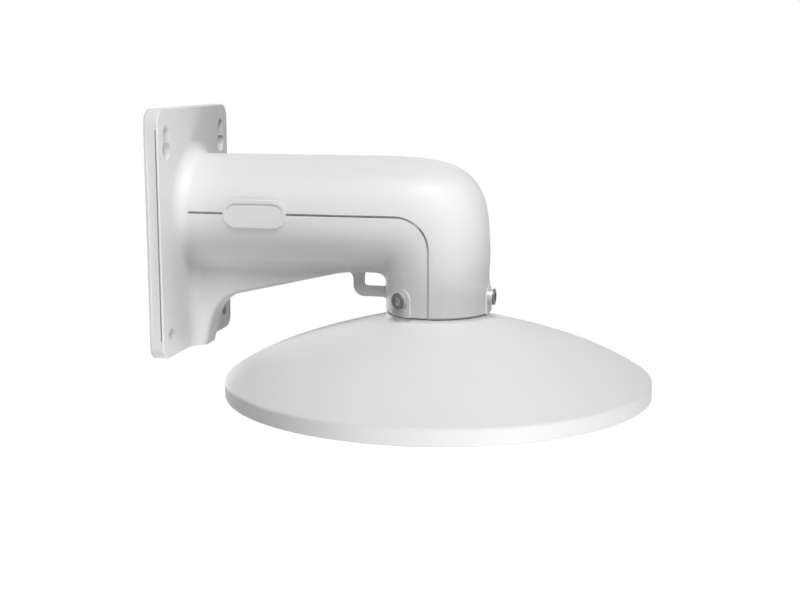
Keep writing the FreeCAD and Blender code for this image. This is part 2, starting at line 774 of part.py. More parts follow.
def arm_outside():
    """The whole casting's outer form, before it is hollowed and drilled."""
    sections = [straight_section(x) for x in (S["loft_start"], (S["loft_start"] + S["pivot_x"]) / 2)]
    sections += [elbow_section(turn) for turn in ELBOW_TURNS]
    elbow = Part.makeLoft(sections, True, False)
    arm = elbow.fuse([flared_root(), collar_barrel()], JOIN_TOLERANCE)
    arm = arm.common(plate_prism(0, S["plate_back"], S["collar_outer_x"] + S["wall"]))
    pads = [around_collar(clamp_pad(), turn) for turn in screw_turns()]
    return arm.fuse([safety_eye(), badge_boss()] + pads)


def arm_hollow():
    """Everything that is taken out of the casting for the cable."""
    axis_z = S["axis_height"]
    run = cylinder_along(S["passage_radius"], Vector(S["plate_back"] - COVER, 0, axis_z),
                         Vector(S["pivot_x"] + COVER, 0, axis_z))
    elbow = Part.makeLoft([elbow_hollow_section(turn) for turn in ELBOW_TURNS], True, False)
    bore_top = max(S["pivot_z"], S["collar_bottom"] + S["spigot_length"]) + COVER
    bore = cylinder_along(S["collar_bore"], Vector(S["reach"], 0, S["collar_bottom"] - COVER),
                          Vector(S["reach"], 0, bore_top))
    return run.fuse([elbow, bore])


def edge_hole():
    """Small blind hole in the plate's top edge."""
    x = S["plate_front"] - S["edge_hole_setback"]
    top = S["plate_height"] / 2
    return cylinder_along(S["edge_hole_width"] / 2, Vector(x, S["edge_hole_across"], top + COVER),
                          Vector(x, S["edge_hole_across"], top - S["edge_hole_depth"]))


def make_arm_casting():
    arm = arm_outside().cut(arm_hollow())
    cutters = [plate_pocket(), keel_core(), badge_field(), edge_hole()]
    cutters += side_recess(-1) + side_recess(1)
    cutters += [band.cut(badge_zone()) for band in groove_band(-1)] + groove_band(1)
    cutters.append(front_edge_trim())
    cutters += [around_collar(clamp_drilling(), turn) for turn in screw_turns()]
    for across, up in fixing_places():
        cutters.append(fixing_outline(across, up, 0, S["plate_back"] - COVER, S["plate_front"] + COVER))
    return arm.cut(cutters)


# The gasket, the rain shade and one clamp screw are modelled as bodies whose sketches read the sheet.


def add_body(name):
    body = doc.addObject("PartDesign::Body", name)
    body.Label = name
    return body


def origin_plane(body, role):
    return [feature for feature in body.Origin.OriginFeatures if feature.Role == role][0]


def add_sketch(body, name, role):
    sketch = body.newObject("Sketcher::SketchObject", name)
    sketch.AttachmentSupport = (origin_plane(body, role), [""])
    sketch.MapMode = "FlatFace"
    return sketch


def sheet_value(expression):
    """Value of an expression of the sheet's cells, for a sketch's first guess."""
    return float(sheet.evalExpression(expression.replace("Sizes.", "")))


def bind(sketch, constraint, expression):
    """Add a sizing constraint and tie it to the sheet."""
    index = sketch.addConstraint(constraint)
    sketch.setExpression("Constraints[%d]" % index, expression)


def bind_point(sketch, geometry, end, across, up):
    """Tie a point of a sketch to the sheet by its distances from the sketch's origin."""
    for kind, expression, other_axis in (("DistanceX", across, -2), ("DistanceY", up, -1)):
        if expression == "0":
            sketch.addConstraint(Sketcher.Constraint("PointOnObject", geometry, end, other_axis))
        else:
            value = sheet_value(expression)
            bind(sketch, Sketcher.Constraint(kind, -1, 1, geometry, end, value), expression)


def bound_circle(sketch, across, up, radius):
    """A circle whose centre and radius are tied to the sheet."""
    guess = Vector(sheet_value(across), sheet_value(up), 0)
    circle = sketch.addGeometry(Part.Circle(guess, Vector(0, 0, 1), sheet_value(radius)))
    bind(sketch, Sketcher.Constraint("Radius", circle, sheet_value(radius)), radius)
    bind_point(sketch, circle, 3, across, up)


def bound_outline(sketch, corners):
    """A closed outline of straight lines, each corner (across, up) tied to the sheet."""
    points = [Vector(sheet_value(across), sheet_value(up), 0) for across, up in corners]
    count = len(points)
    lines = [sketch.addGeometry(Part.LineSegment(points[step], points[(step + 1) % count]))
             for step in range(count)]
    for step in range(count):
        sketch.addConstraint(Sketcher.Constraint("Coincident", lines[step], 2, lines[(step + 1) % count], 1))
    for step in range(count):
        bind_point(sketch, lines[step], 1, corners[step][0], corners[step][1])


def bound_slot(sketch, across, low, high, radius):
    """An upright slot with round ends, its two centres and its radius tied to the sheet."""
    x, z_low, z_high = sheet_value(across), sheet_value(low), sheet_value(high)
    half = sheet_value(radius)
    upper = Part.Circle(Vector(x, z_high, 0), Vector(0, 0, 1), half)
    lower = Part.Circle(Vector(x, z_low, 0), Vector(0, 0, 1), half)
    top = sketch.addGeometry(Part.ArcOfCircle(upper, 0, math.pi))
    left = sketch.addGeometry(Part.LineSegment(Vector(x - half, z_high, 0), Vector(x - half, z_low, 0)))
    bottom = sketch.addGeometry(Part.ArcOfCircle(lower, math.pi, 2 * math.pi))
    right = sketch.addGeometry(Part.LineSegment(Vector(x + half, z_low, 0), Vector(x + half, z_high, 0)))
    for first, first_end, second, second_end in ((top, 2, left, 1), (left, 2, bottom, 1),
                                                 (bottom, 2, right, 1), (right, 2, top, 1)):
        sketch.addConstraint(Sketcher.Constraint("Tangent", first, first_end, second, second_end))
    bind(sketch, Sketcher.Constraint("Radius", top, half), radius)
    bind_point(sketch, top, 3, across, high)
    bind_point(sketch, bottom, 3, across, low)


def make_wall_gasket():
    """Rubber sheet the size of the plate, open at the cable way and at the four fixings."""
    body = add_body("wall_gasket")
    outline = add_sketch(body, "GasketOutline", "YZ_Plane")
    half_y = "Sizes.plate_width / 2"
    half_z = "Sizes.plate_height / 2"
    bound_outline(outline, [("-" + half_y, "-" + half_z), (half_y, "-" + half_z), (half_y, half_z),
                            ("-" + half_y, half_z)])
    rubber = body.newObject("PartDesign::Pad", "GasketSheet")
    rubber.Profile = outline
    rubber.setExpression("Length", "Sizes.gasket_thick")
    doc.recompute()
    corners = ["Edge%d" % index for index, edge in enumerate(rubber.Shape.Edges, start=1)
               if edge.BoundBox.XLength > S["gasket_thick"] / 2]
    rounded = body.newObject("PartDesign::Fillet", "GasketCorners")
    rounded.Base = (rubber, corners)
    rounded.setExpression("Radius", "Sizes.plate_corner")
    doc.recompute()
    openings = add_sketch(body, "GasketOpenings", "YZ_Plane")
    fixing_y = "(%s - Sizes.fixing_margin_across)" % half_y
    fixing_z = "(%s - Sizes.fixing_margin_up)" % half_z
    bound_circle(openings, "0", "Sizes.axis_height", "Sizes.tube_radius - Sizes.wall")
    for sign in ("", "-"):
        bound_circle(openings, sign + fixing_y, "-" + fixing_z, "Sizes.fixing_hole_width / 2")
        bound_slot(openings, sign + fixing_y, fixing_z + " - Sizes.keyhole_travel", fixing_z,
                   "Sizes.keyhole_entry_width / 2")
    holes = body.newObject("PartDesign::Pocket", "GasketHoles")
    holes.Profile = openings
    holes.Type = "ThroughAll"
    holes.Midplane = True
    body.Tip = holes
    doc.recompute()
    return body


def ring_edges(shape, places):
    """Names of a turned shape's round edges at these (radius, height) places."""
    names = []
    for index, edge in enumerate(shape.Edges, start=1):
        bounds = edge.BoundBox
        for radius, height in places:
            level = abs(bounds.ZMin - height) < 0.01 and abs(bounds.ZMax - height) < 0.01
            if level and abs(bounds.XLength / 2 - radius) < 0.01:
                names.append("Edge%d" % index)
    return names


def shade_dome():
    """The dome's outline in the shade's own frame: a cone, then two tangent arcs down to the rim's corner."""
    slope = rad(S["shade_slope"])
    normal = Vector(-math.sin(slope), -math.cos(slope), 0)
    start_x = S["collar_radius"] - S["shade_neck_inset"] + S["shade_neck_round"]
    start = Vector(start_x, S["collar_bottom"] - S["shade_neck_drop"], 0)
    cone_end = Vector(S["shade_cone_end"], start.y - (S["shade_cone_end"] - start_x) * math.tan(slope), 0)
    first_centre = cone_end + normal * S["shade_shoulder_bend"]
    sine = (S["shade_shoulder_end"] - first_centre.x) / S["shade_shoulder_bend"]
    outward = Vector(sine, math.sqrt(1 - sine ** 2), 0)
    joint = first_centre + outward * S["shade_shoulder_bend"]
    straight_drop = (S["shade_rim_radius"] - joint.x) * sine / outward.y
    corner = Vector(S["shade_rim_radius"], joint.y - straight_drop - S["shade_rim_dip"], 0)
    gap = corner - joint
    second_bend = -gap.dot(gap) / (2 * gap.dot(outward))
    second_centre = joint - outward * second_bend
    return start, cone_end, first_centre, joint, second_centre, second_bend, corner


def turned_arc(centre, start, end):
    """The shorter arc about a centre between two points, drawn anticlockwise as sketches need it."""
    radius = (start - centre).Length
    middle = centre + ((start + end) / 2 - centre).normalize() * radius
    if (start - centre).cross(end - centre).z < 0:
        return Part.Arc(end, middle, start)
    return Part.Arc(start, middle, end)


def make_rain_shade():
    """Dished round shade, turned about the collar's axis, with a spigot that stands in the collar."""
    body = add_body("rain_shade")
    sketch = add_sketch(body, "ShadeProfile", "XZ_Plane")
    start, cone_end, first_centre, joint, second_centre, second_bend, corner = shade_dome()
    wall = S["shade_wall"]
    slope = rad(S["shade_slope"])
    edge_z = "(Sizes.axis_height - Sizes.collar_drop)"
    step_z = "%s - Sizes.shade_seat_step" % edge_z
    seat_z = "(%s + Sizes.screw_above_edge)" % edge_z
    seat_half = "(Sizes.screw_thread / 2 + Sizes.screw_seat_clearance)"
    spigot = "(Sizes.collar_radius - Sizes.wall - Sizes.spigot_clearance)"
    seat = "(Sizes.collar_radius + Sizes.pad_proud - Sizes.screw_seat_depth - Sizes.screw_length)"
    bore = "(%s - Sizes.spigot_wall)" % spigot
    neck = "(Sizes.collar_radius - Sizes.shade_neck_inset)"
    seat_edge = "(Sizes.collar_radius - Sizes.shade_seat_inset)"
    top_z = "%s + Sizes.spigot_length" % edge_z
    start_x = "%s + Sizes.shade_neck_round" % neck
    start_z = "%s - Sizes.shade_neck_drop" % edge_z
    foot_z = "%s + Sizes.shade_neck_round" % start_z
    inner_x = "Sizes.shade_rim_radius - Sizes.shade_wall"
    hub_z = "%s - Sizes.shade_wall / cos(Sizes.shade_slope)" % start_z
    cone_z = "%s - (Sizes.shade_cone_end - (%s)) * tan(Sizes.shade_slope)" % (start_z, start_x)
    shoulder_run = "(Sizes.shade_shoulder_end - Sizes.shade_cone_end)"
    lean = "asin(%s / Sizes.shade_shoulder_bend + sin(Sizes.shade_slope))" % shoulder_run
    joint_z = "%s + Sizes.shade_shoulder_bend * (cos(%s) - cos(Sizes.shade_slope))" % (cone_z, lean)
    rim_run = "(Sizes.shade_rim_radius - Sizes.shade_shoulder_end)"
    rim_z = "%s - %s * tan(%s) - Sizes.shade_rim_dip" % (joint_z, rim_run, lean)
    low_z = "%s - Sizes.shade_rim_height" % rim_z
    under_x = "Sizes.shade_cone_end - Sizes.shade_wall * sin(Sizes.shade_slope)"
    under_z = "%s - Sizes.shade_wall * cos(Sizes.shade_slope)" % cone_z
    normal = Vector(math.sin(slope), math.cos(slope), 0)
    under_cone_end = cone_end - normal * wall
    under_joint = first_centre + (joint - first_centre).normalize() * (S["shade_shoulder_bend"] - wall)
    inner_reach = S["shade_rim_radius"] - wall - second_centre.x
    inner_rise = math.sqrt((second_bend - wall) ** 2 - inner_reach ** 2)
    under_corner = Vector(second_centre.x + inner_reach, second_centre.y + inner_rise, 0)
    neck_centre = start + Vector(0, S["shade_neck_round"], 0)
    # Points of the outline in order; the three that follow from tangency have no expression of their own.
    outline = [("bore_top", (bore, top_z)), ("spigot_top", (spigot, top_z)),
               ("groove_top", (spigot, "%s + %s" % (seat_z, seat_half))),
               ("groove_top_in", (seat, "%s + %s" % (seat_z, seat_half))),
               ("groove_low_in", (seat, "%s - %s" % (seat_z, seat_half))),
               ("groove_low", (spigot, "%s - %s" % (seat_z, seat_half))),
               ("shoulder_in", (spigot, edge_z)), ("seat_out", (seat_edge, edge_z)),
               ("seat_low", (seat_edge, step_z)), ("shoulder_out", (neck, step_z)),
               ("neck_foot", (neck, foot_z)),
               ("dome_start", (start_x, start_z)), ("cone_end", ("Sizes.shade_cone_end", cone_z)),
               ("joint", joint), ("rim_corner", ("Sizes.shade_rim_radius", rim_z)),
               ("rim_low", ("Sizes.shade_rim_radius", low_z)), ("rim_low_in", (inner_x, low_z)),
               ("under_corner", under_corner), ("under_joint", under_joint),
               ("under_cone_end", (under_x, under_z)), ("hub_out", (start_x, hub_z)),
               ("hub_in", (bore, hub_z))]
    names = [name for name, place in outline]
    points = {}
    for name, place in outline:
        if isinstance(place, Vector):
            points[name] = place
        else:
            points[name] = Vector(sheet_value(place[0]), sheet_value(place[1]), 0)
    arcs = {"neck_foot": neck_centre, "cone_end": first_centre, "joint": second_centre,
            "under_corner": second_centre, "under_joint": first_centre}
    pieces = {}
    for step, name in enumerate(names):
        first, last = points[name], points[names[(step + 1) % len(names)]]
        if name in arcs:
            pieces[name] = sketch.addGeometry(turned_arc(arcs[name], first, last))
        else:
            pieces[name] = sketch.addGeometry(Part.LineSegment(first, last))
    ends = {}
    for name in names:
        piece = sketch.Geometry[pieces[name]]
        starts_here = (piece.StartPoint - points[name]).Length < SMALL_SHARE
        ends[name] = (1, 2) if starts_here else (2, 1)
    for step, name in enumerate(names):
        following = names[(step + 1) % len(names)]
        kind = "Coincident"
        if following in ("cone_end", "joint", "under_joint"):
            kind = "Tangent"
        sketch.addConstraint(Sketcher.Constraint(kind, pieces[name], ends[name][1],
                                                 pieces[following], ends[following][0]))
    for name, radius in (("neck_foot", "shade_neck_round"), ("cone_end", "shade_shoulder_bend")):
        bind(sketch, Sketcher.Constraint("Radius", pieces[name], S[radius]), "Sizes." + radius)
    bind(sketch, Sketcher.Constraint("DistanceX", -1, 1, pieces["joint"], ends["joint"][0],
                                     S["shade_shoulder_end"]), "Sizes.shade_shoulder_end")
    for outer, inner in (("cone_end", "under_joint"), ("joint", "under_corner")):
        sketch.addConstraint(Sketcher.Constraint("Coincident", pieces[outer], 3, pieces[inner], 3))
    for name, place in outline:
        if not isinstance(place, Vector):
            bind_point(sketch, pieces[name], ends[name][0], place[0], place[1])
    bind(sketch, Sketcher.Constraint("DistanceX", -1, 1, pieces["under_corner"], ends["under_corner"][0],
                                     sheet_value(inner_x)), inner_x)
    doc.recompute()
    turned = body.newObject("PartDesign::Revolution", "ShadeTurned")
    turned.Profile = sketch
    turned.ReferenceAxis = (sketch, ["V_Axis"])
    turned.Angle = 360.0
    doc.recompute()
    rim = ring_edges(turned.Shape, [(S["shade_rim_radius"], corner.y)])
    rounded = body.newObject("PartDesign::Fillet", "RimCrease")
    rounded.Base = (turned, rim)
    rounded.setExpression("Radius", "Sizes.shade_rim_round")
    doc.recompute()
    low = ring_edges(rounded.Shape, [(S["shade_rim_radius"], corner.y - S["shade_rim_height"])])
    soft = body.newObject("PartDesign::Fillet", "RimEdge")
    soft.Base = (rounded, low)
    soft.setExpression("Radius", "Sizes.shade_low_round")
    body.Tip = soft
    body.setExpression("Placement.Base.x", "Sizes.reach")
    doc.recompute()
    return body


def make_clamp_screw():
    """One low-headed socket screw, lying along the collar's outward direction."""
    body = add_body("clamp_screw_pattern")
    sketch = add_sketch(body, "ScrewProfile", "XZ_Plane")
    seat = "(Sizes.collar_radius + Sizes.pad_proud - Sizes.screw_seat_depth)"
    head = "%s + Sizes.screw_head_height" % seat
    tip = "%s - Sizes.screw_length" % seat
    bound_outline(sketch, [(tip, "0"), (head, "0"), (head, "Sizes.screw_head_width / 2"),
                           (seat, "Sizes.screw_head_width / 2"), (seat, "Sizes.screw_thread / 2"),
                           (tip, "Sizes.screw_thread / 2")])
    turned = body.newObject("PartDesign::Revolution", "ScrewTurned")
    turned.Profile = sketch
    turned.ReferenceAxis = (sketch, ["H_Axis"])
    turned.Angle = 360.0
    doc.recompute()
    face_x = S["pad_face"] - S["screw_seat_depth"] + S["screw_head_height"]
    rim = ["Edge%d" % index for index, edge in enumerate(turned.Shape.Edges, start=1)
           if edge.BoundBox.XMin > face_x - 0.01 and edge.BoundBox.YLength > S["screw_head_width"] / 2]
    rounded = body.newObject("PartDesign::Fillet", "HeadEdge")
    rounded.Base = (turned, rim)
    rounded.setExpression("Radius", "Sizes.screw_head_round")
    doc.recompute()
    socket = add_sketch(body, "SocketOutline", "YZ_Plane")
    socket.setExpression("AttachmentOffset.Base.z", head)
    corner_y = "Sizes.screw_hex / 2"
    corner_z = "Sizes.screw_hex / 2 / tan(60)"
    peak_z = "Sizes.screw_hex / 2 / cos(30)"
    bound_outline(socket, [(corner_y, "-" + corner_z), (corner_y, corner_z), ("0", peak_z),
                           ("-" + corner_y, corner_z), ("-" + corner_y, "-" + corner_z), ("0", "-" + peak_z)])
    recess = body.newObject("PartDesign::Pocket", "Socket")
    recess.Profile = socket
    recess.setExpression("Length", "Sizes.screw_hex_depth")
    body.Tip = recess
    doc.recompute()
    return body


def add_solid(name, shape):
    feature = doc.addObject("Part::Feature", name)
    feature.Label = name
    feature.Shape = shape
    feature.Placement = Placement(Vector(0, 0, 0), Rotation())
    return feature


def make_clamp_screws(pattern):
    """The three screws, the pattern screw set at the collar's outer side and turned round the collar."""
    screw = pattern.Shape.copy()
    screw.translate(Vector(S["reach"], 0, S["screw_axis_z"]))
    return Part.makeCompound([around_collar(screw, turn) for turn in screw_turns()])


def check_everything(parts):
    for item in doc.Objects:
        states = [str(state) for state in item.State]
        if "Invalid" in states or "Error" in states:
            raise RuntimeError("%s is in state %s" % (item.Name, states))
    for part in parts:
        if part.Shape.isNull() or not part.Shape.isValid():
            raise RuntimeError("%s has no valid shape" % part.Label)


arm_casting = add_solid("arm_casting", make_arm_casting())
wall_gasket = make_wall_gasket()
rain_shade = make_rain_shade()
clamp_screws = add_solid("clamp_screws", make_clamp_screws(make_clamp_screw()))
doc.recompute()
pieces_out = [arm_casting, wall_gasket, rain_shade, clamp_screws]
check_everything(pieces_out)

os.makedirs("parts", exist_ok=True)
for piece_out in pieces_out:
    piece_out.Shape.exportStep("parts/%s.step" % piece_out.Label)
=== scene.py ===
"""Looks of a camera wall bracket: white powder coat, plated screws, a rubber gasket and studio light."""
import math

import bpy
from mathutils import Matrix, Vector


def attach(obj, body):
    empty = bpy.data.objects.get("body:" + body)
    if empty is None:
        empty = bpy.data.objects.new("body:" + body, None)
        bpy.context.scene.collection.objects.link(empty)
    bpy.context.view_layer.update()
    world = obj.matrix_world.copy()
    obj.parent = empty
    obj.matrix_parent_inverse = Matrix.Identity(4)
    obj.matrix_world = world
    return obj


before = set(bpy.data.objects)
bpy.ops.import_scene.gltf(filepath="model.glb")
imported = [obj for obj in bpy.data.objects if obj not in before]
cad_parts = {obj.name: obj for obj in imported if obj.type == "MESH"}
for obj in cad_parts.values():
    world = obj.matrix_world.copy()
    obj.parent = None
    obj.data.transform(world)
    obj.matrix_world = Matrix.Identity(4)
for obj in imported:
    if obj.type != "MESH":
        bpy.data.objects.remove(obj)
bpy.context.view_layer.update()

# The camera's place in metres and its angles in degrees, in the part's own frame.
CAMERA_PLACE = (0.31736, -0.80559, 0.10173)
CAMERA_TURN = 12.3726
CAMERA_DIP = 9.94095
LENS = 60.855
SENSOR_WIDTH = 36.0
NEAREST_SEEN = 0.01
FARTHEST_SEEN = 50

# Each lamp's name, its place and the length of its square sides in metres, and its power in watts.
LAMPS = (
    ("key_front", (0.33, -0.66, 0.96), 0.5, 11.2),
    ("high_right", (0.87, -0.40, 0.85), 0.3, 2.9),
    ("back_right", (0.61, 0.49, 0.96), 0.5, 0.6),
    ("back_fill", (-0.72, 0.85, -0.05), 0.5, 3.0),
    ("rim_left", (-0.16, -0.77, -0.59), 0.3, 1.2),
    ("rim_front", (0.33, -0.79, -0.59), 0.3, 0.9),
    ("rim_right", (0.75, -0.53, -0.59), 0.3, 5.0),
)
LAMP_AIM = (0.12, 0, -0.02)

# Strength of the pale world where it lights the part, and the floor's place, half width and grey.
WORLD_LEVEL = 0.03
FLOOR_HEIGHT = -0.75
FLOOR_REACH = 6.0
FLOOR_GREY = 0.8

# Each noise is its scale, detail and roughness. Each bump is its strength and its distance in metres.
COAT_GREYS = (0.72, 0.76)
COAT_ROUGHNESS = (0.40, 0.50)
COAT_SPECULAR = 0.45
CLOUDS = (22.0, 3.0, 0.5)
GRAIN = (900.0, 2.0, 0.6)
PEEL = (420.0, 2.0, 0.5)
PEEL_BUMP = (0.12, 0.0004)
GRAIN_BUMP = (0.10, 0.00015)

STEEL_GREYS = (0.58, 0.66)
STEEL_ROUGHNESS = (0.32, 0.46)
STEEL_METALLIC = 0.65
STREAK = (650.0, 4.0, 0.6)
STREAK_BUMP = (0.08, 0.0001)

RUBBER_GREYS = (0.64, 0.72)
RUBBER_ROUGHNESS = (0.75, 0.9)
RUBBER_GRAIN = (1400.0, 3.0, 0.6)
RUBBER_BUMP = (0.3, 0.0002)

# The shadow groove in metres: its line, half its width, and how far out its two floors and the bore lie.
REACH = 0.1645
AXIS_HEIGHT = 0.0123
GROOVE_BEND = 0.020
GROOVE_HALF = 0.00075
RUN_FLOOR = 0.0330
DROP_FLOOR = 0.0313
BORE_LIMIT = 0.0302
# Grey of the painted shade on the groove's floor.
GROOVE_SHADE_GREY = 0.60

# Limits of the crevice behind the plate's front lip, in metres.
CREVICE_BACK = 0.00684
CREVICE_FRONT = 0.00766
CREVICE_INNER = 0.0540
CREVICE_OUTER = 0.0596
CREVICE_REACH = 0.0665
# Grey of the painted shade on the crevice's floor.
CREVICE_SHADE_GREY = 0.25

# Distance in metres from the collar's axis past which a screw is dark.
DARK_END = 0.0350
DARK_END_GREY = 0.16

# The pipe thread in the shade's spigot, in metres, and its turns, steps to a turn and steps to full height.
THREAD_ROOT = 0.02245
THREAD_CREST = 0.02175
THREAD_PITCH = 0.002309
THREAD_BOTTOM = -0.0530
THREAD_TURNS = 8
THREAD_STEPS = 96
THREAD_FADE = 24.0

# Half the ridge's width at its foot and at its crest, in pitches.
THREAD_FOOT = 0.40
THREAD_TOP = 0.12


def link_to_scene(thing):
    bpy.context.scene.collection.objects.link(thing)


def node_material(name):
    """A new material with an empty node tree but for its shader and its output."""
    material = bpy.data.materials.new(name)
    material.use_nodes = True
    tree = material.node_tree
    tree.nodes.clear()
    output = tree.nodes.new("ShaderNodeOutputMaterial")
    shader = tree.nodes.new("ShaderNodeBsdfPrincipled")
    tree.links.new(shader.outputs["BSDF"], output.inputs["Surface"])
    return material, tree, shader


def noise(tree, place, scale, detail, roughness):
    texture = tree.nodes.new("ShaderNodeTexNoise")
    texture.inputs["Scale"].default_value = scale
    texture.inputs["Detail"].default_value = detail
    texture.inputs["Roughness"].default_value = roughness
    tree.links.new(place, texture.inputs["Vector"])
    return texture.outputs["Fac"]


def object_place(tree):
    return tree.nodes.new("ShaderNodeTexCoord").outputs["Object"]


def mapped(tree, value, low, high):
    """A value from 0 to 1 spread between two limits."""
    node = tree.nodes.new("ShaderNodeMapRange")
    node.inputs["To Min"].default_value = low
    node.inputs["To Max"].default_value = high
    tree.links.new(value, node.inputs["Value"])
    return node.outputs["Result"]


def math_node(tree, operation, first, second=None):
    """One arithmetic step on linked values or plain numbers."""
    node = tree.nodes.new("ShaderNodeMath")
    node.operation = operation
    for place, value in enumerate((first, second)):
        if value is None:
            continue
        if isinstance(value, (int, float)):
            node.inputs[place].default_value = value
        else:
            tree.links.new(value, node.inputs[place])
    return node.outputs["Value"]


def product(tree, first, second):
    return math_node(tree, "MULTIPLY", first, second)


def distance(tree, first, second):
    """The length of the diagonal over two offsets at right angles."""
    squares = math_node(tree, "ADD", product(tree, first, first), product(tree, second, second))
    return math_node(tree, "SQRT", squares)


def between(tree, value, low, high):
    """1 where a value lies between two limits."""
    return product(tree, math_node(tree, "GREATER_THAN", value, low),
                   math_node(tree, "LESS_THAN", value, high))


def parts_of(tree, place):
    """The X, Y and Z of a place."""
    node = tree.nodes.new("ShaderNodeSeparateXYZ")
    tree.links.new(place, node.inputs["Vector"])
    return [node.outputs[axis] for axis in "XYZ"]


def grey(level):
    return (level, level, level, 1)


def darkened(tree, colour, mask, level):
    """The colour, but for a dark grey where the mask is 1."""
    mix = tree.nodes.new("ShaderNodeMix")
    mix.data_type = "RGBA"
    mix.inputs["B"].default_value = grey(level)
    tree.links.new(colour, mix.inputs["A"])
    tree.links.new(mask, mix.inputs["Factor"])
    return mix.outputs["Result"]


def tinted(tree, value, dark, light):
    """A colour between two greys, led by a value from 0 to 1."""
    mix = tree.nodes.new("ShaderNodeMix")
    mix.data_type = "RGBA"
    mix.inputs["A"].default_value = grey(dark)
    mix.inputs["B"].default_value = grey(light)
    tree.links.new(value, mix.inputs["Factor"])
    return mix.outputs["Result"]


def bump(tree, height, strength, depth, under=None):
    """A normal tilted by a height, on top of another normal where one is given."""
    node = tree.nodes.new("ShaderNodeBump")
    node.inputs["Strength"].default_value = strength
    node.inputs["Distance"].default_value = depth
    tree.links.new(height, node.inputs["Height"])
    if under is not None:
        tree.links.new(under, node.inputs["Normal"])
    return node.outputs["Normal"]


def painted_groove_shade_mask(tree, place):
    """1 on the groove's floor along the arm, round the elbow and down the collar, where painted shade goes.
    """
    x, y, z = parts_of(tree, place)
    ahead = math_node(tree, "SUBTRACT", x, REACH - GROOVE_BEND)
    above = math_node(tree, "SUBTRACT", z, AXIS_HEIGHT - GROOVE_BEND)
    from_bend = distance(tree, math_node(tree, "MAXIMUM", ahead, 0.0),
                         math_node(tree, "MAXIMUM", above, 0.0))
    off_line = math_node(tree, "ABSOLUTE", math_node(tree, "SUBTRACT", from_bend, GROOVE_BEND))
    near_line = math_node(tree, "LESS_THAN", off_line, GROOVE_HALF)
    on_run = math_node(tree, "GREATER_THAN", above, ahead)
    skin = math_node(tree, "ADD", product(tree, on_run, RUN_FLOOR - DROP_FLOOR), DROP_FLOOR)
    sideways = math_node(tree, "ABSOLUTE", y)
    below_skin = math_node(tree, "LESS_THAN", sideways, skin)
    outside_bore = math_node(tree, "GREATER_THAN", sideways, BORE_LIMIT)
    return product(tree, near_line, product(tree, below_skin, outside_bore))


def painted_crevice_shade_mask(tree, place):
    """1 on the crevice floor behind the front lip, along the plate's two long sides, where painted shade
    goes.
    """
    x, y, z = parts_of(tree, place)
    behind_lip = between(tree, x, CREVICE_BACK, CREVICE_FRONT)
    near_side = between(tree, math_node(tree, "ABSOLUTE", y), CREVICE_INNER, CREVICE_OUTER)
    on_straight = math_node(tree, "LESS_THAN", math_node(tree, "ABSOLUTE", z), CREVICE_REACH)
    return product(tree, behind_lip, product(tree, near_side, on_straight))


def powder_coat(name, with_painted_shade=False):
    """White powder coat: a fine orange peel, finer grain in its gloss and faint clouds in its colour."""
    material, tree, shader = node_material(name)
    place = object_place(tree)
    colour = tinted(tree, noise(tree, place, *CLOUDS), *COAT_GREYS)
    # Painted shade: the groove's floor and the crevice behind the lip are darkened in the coat's colour.
    if with_painted_shade:
        colour = darkened(tree, colour, painted_groove_shade_mask(tree, place), GROOVE_SHADE_GREY)
        colour = darkened(tree, colour, painted_crevice_shade_mask(tree, place), CREVICE_SHADE_GREY)
    tree.links.new(colour, shader.inputs["Base Color"])
    grain = noise(tree, place, *GRAIN)
    tree.links.new(mapped(tree, grain, *COAT_ROUGHNESS), shader.inputs["Roughness"])
    peeled = bump(tree, noise(tree, place, *PEEL), *PEEL_BUMP)
    tree.links.new(bump(tree, grain, *GRAIN_BUMP, peeled), shader.inputs["Normal"])
    shader.inputs["Specular IOR Level"].default_value = COAT_SPECULAR
    return material


def plated_steel(name):
    """Plated steel with a dark outer end, told by the distance from the collar's axis."""
    material, tree, shader = node_material(name)
    place = object_place(tree)
    streak = noise(tree, place, *STREAK)
    x, y, _ = parts_of(tree, place)
    from_axis = distance(tree, math_node(tree, "SUBTRACT", x, REACH), y)
    end_mask = math_node(tree, "GREATER_THAN", from_axis, DARK_END)
    colour = darkened(tree, tinted(tree, streak, *STEEL_GREYS), end_mask, DARK_END_GREY)
    tree.links.new(colour, shader.inputs["Base Color"])
    tree.links.new(mapped(tree, streak, *STEEL_ROUGHNESS), shader.inputs["Roughness"])
    shader.inputs["Metallic"].default_value = STEEL_METALLIC
    tree.links.new(bump(tree, streak, *STREAK_BUMP), shader.inputs["Normal"])
    return material


def gasket_rubber(name):
    """Matt pale rubber with a fine grain."""
    material, tree, shader = node_material(name)
    grain = noise(tree, object_place(tree), *RUBBER_GRAIN)
    tree.links.new(tinted(tree, grain, *RUBBER_GREYS), shader.inputs["Base Color"])
    tree.links.new(mapped(tree, grain, *RUBBER_ROUGHNESS), shader.inputs["Roughness"])
    tree.links.new(bump(tree, grain, *RUBBER_BUMP), shader.inputs["Normal"])
    return material


def dress(node, material):
    """Put one material on every slot of a carried-over solid."""
    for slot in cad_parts[node].material_slots:
        slot.material = material


